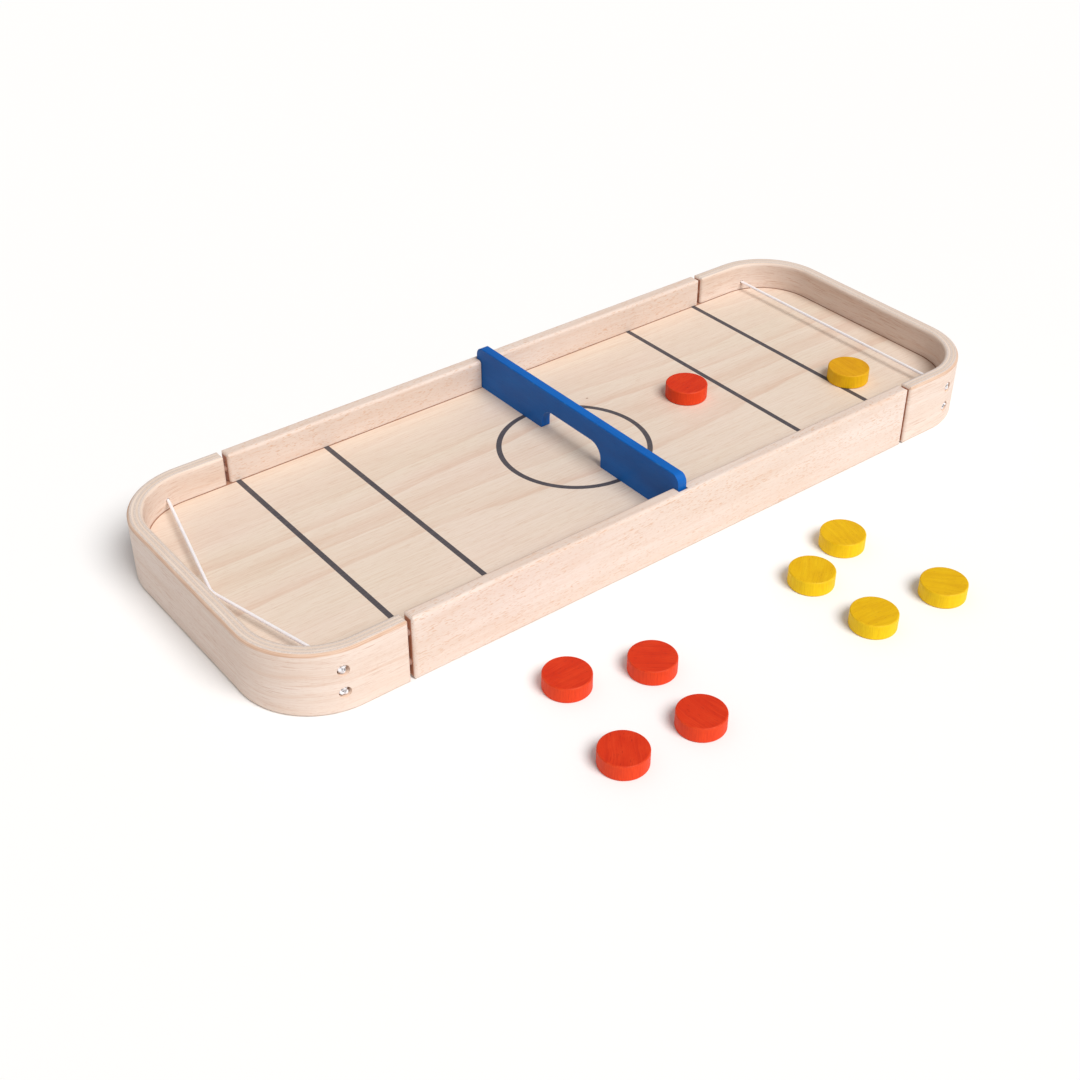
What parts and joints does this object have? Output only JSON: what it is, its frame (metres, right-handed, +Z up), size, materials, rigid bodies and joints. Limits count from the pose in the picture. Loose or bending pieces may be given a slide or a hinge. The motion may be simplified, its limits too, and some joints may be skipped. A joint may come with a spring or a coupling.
{
  "type": "tabletop shuffleboard",
  "caption": "Two-sided wooden tabletop shuffleboard: round-cornered frame, plywood play board, lift-out gated divider, elastic launching cords and round wooden pucks.",
  "frame": {"origin": "centre of the frame's footprint, on the plane that the frame and the loose pucks rest on", "axes": "+X along the table, towards the end where two pucks lie on the board; +Y across it, away from the loose pucks; +Z up"},
  "size_m": [0.592, 0.375, 0.056],
  "materials": {
    "plywood": "clear satin lacquer over pale plywood with dark printed lines",
    "rail_wood": "pale solid wood, fine sanded, clear satin lacquer",
    "laminated_wood": "pale bent laminate with ply lines on its edges, clear satin lacquer",
    "dowel_wood": "raw wood",
    "blue_paint": "blue water-based paint on wood, satin",
    "red_stain": "red stain on wood with the grain showing, satin",
    "yellow_stain": "yellow stain on wood with the grain showing, satin",
    "elastic": "white braided elastic cord"
  },
  "bodies": {
    "frame": {"play_board": "plywood", "rail_near": "rail_wood", "rail_far": "rail_wood", "end_left": "laminated_wood", "end_right": "laminated_wood", "dowels": "dowel_wood", "cord_knots": "elastic"},
    "divider": {"divider": "blue_paint"},
    "elastic_left_top": {"elastic_left_top": "elastic"},
    "elastic_left_under": {"elastic_left_under": "elastic"},
    "elastic_right_top": {"elastic_right_top": "elastic"},
    "elastic_right_under": {"elastic_right_under": "elastic"},
    "puck_red_1": {"puck_red_1": "red_stain"},
    "puck_red_2": {"puck_red_2": "red_stain"},
    "puck_red_3": {"puck_red_3": "red_stain"},
    "puck_red_4": {"puck_red_4": "red_stain"},
    "puck_red_5": {"puck_red_5": "red_stain"},
    "puck_yellow_1": {"puck_yellow_1": "yellow_stain"},
    "puck_yellow_2": {"puck_yellow_2": "yellow_stain"},
    "puck_yellow_3": {"puck_yellow_3": "yellow_stain"},
    "puck_yellow_4": {"puck_yellow_4": "yellow_stain"},
    "puck_yellow_5": {"puck_yellow_5": "yellow_stain"}
  },
  "joints": [
    {"name": "divider_lift", "type": "slide", "parent": "frame", "child": "divider", "axis": [0, 0, 1], "range_m": [0, 0.06]},
    {"name": "elastic_left_top_draw", "type": "slide", "parent": "frame", "child": "elastic_left_top", "axis": [-1, 0, 0], "range_m": [-0.0241, 0.0049], "stiffness_N_per_m": 60, "springref_m": -0.0241, "deforming": ["elastic_left_top"]},
    {"name": "elastic_left_under_draw", "type": "slide", "parent": "frame", "child": "elastic_left_under", "axis": [-1, 0, 0], "range_m": [0, 0.029], "stiffness_N_per_m": 60, "deforming": ["elastic_left_under"]},
    {"name": "elastic_right_top_draw", "type": "slide", "parent": "frame", "child": "elastic_right_top", "axis": [1, 0, 0], "range_m": [0, 0.029], "stiffness_N_per_m": 60, "deforming": ["elastic_right_top"]},
    {"name": "elastic_right_under_draw", "type": "slide", "parent": "frame", "child": "elastic_right_under", "axis": [1, 0, 0], "range_m": [0, 0.029], "stiffness_N_per_m": 60, "deforming": ["elastic_right_under"]},
    {"name": "puck_red_1_lift", "type": "slide", "parent": "frame", "child": "puck_red_1", "axis": [0, 0, 1], "range_m": [0, 0.06]},
    {"name": "puck_red_2_lift", "type": "slide", "parent": "frame", "child": "puck_red_2", "axis": [0, 0, 1], "range_m": [0, 0.06]},
    {"name": "puck_red_3_lift", "type": "slide", "parent": "frame", "child": "puck_red_3", "axis": [0, 0, 1], "range_m": [0, 0.06]},
    {"name": "puck_red_4_lift", "type": "slide", "parent": "frame", "child": "puck_red_4", "axis": [0, 0, 1], "range_m": [0, 0.06]},
    {"name": "puck_red_5_slide", "type": "slide", "parent": "frame", "child": "puck_red_5", "axis": [1, 0, 0], "range_m": [-0.344, 0.132]},
    {"name": "puck_yellow_1_lift", "type": "slide", "parent": "frame", "child": "puck_yellow_1", "axis": [0, 0, 1], "range_m": [0, 0.06]},
    {"name": "puck_yellow_2_lift", "type": "slide", "parent": "frame", "child": "puck_yellow_2", "axis": [0, 0, 1], "range_m": [0, 0.06]},
    {"name": "puck_yellow_3_lift", "type": "slide", "parent": "frame", "child": "puck_yellow_3", "axis": [0, 0, 1], "range_m": [0, 0.06]},
    {"name": "puck_yellow_4_lift", "type": "slide", "parent": "frame", "child": "puck_yellow_4", "axis": [0, 0, 1], "range_m": [0, 0.06]},
    {"name": "puck_yellow_5_slide", "type": "slide", "parent": "frame", "child": "puck_yellow_5", "axis": [1, 0, 0], "range_m": [-0.197, 0.023]}
  ]
}
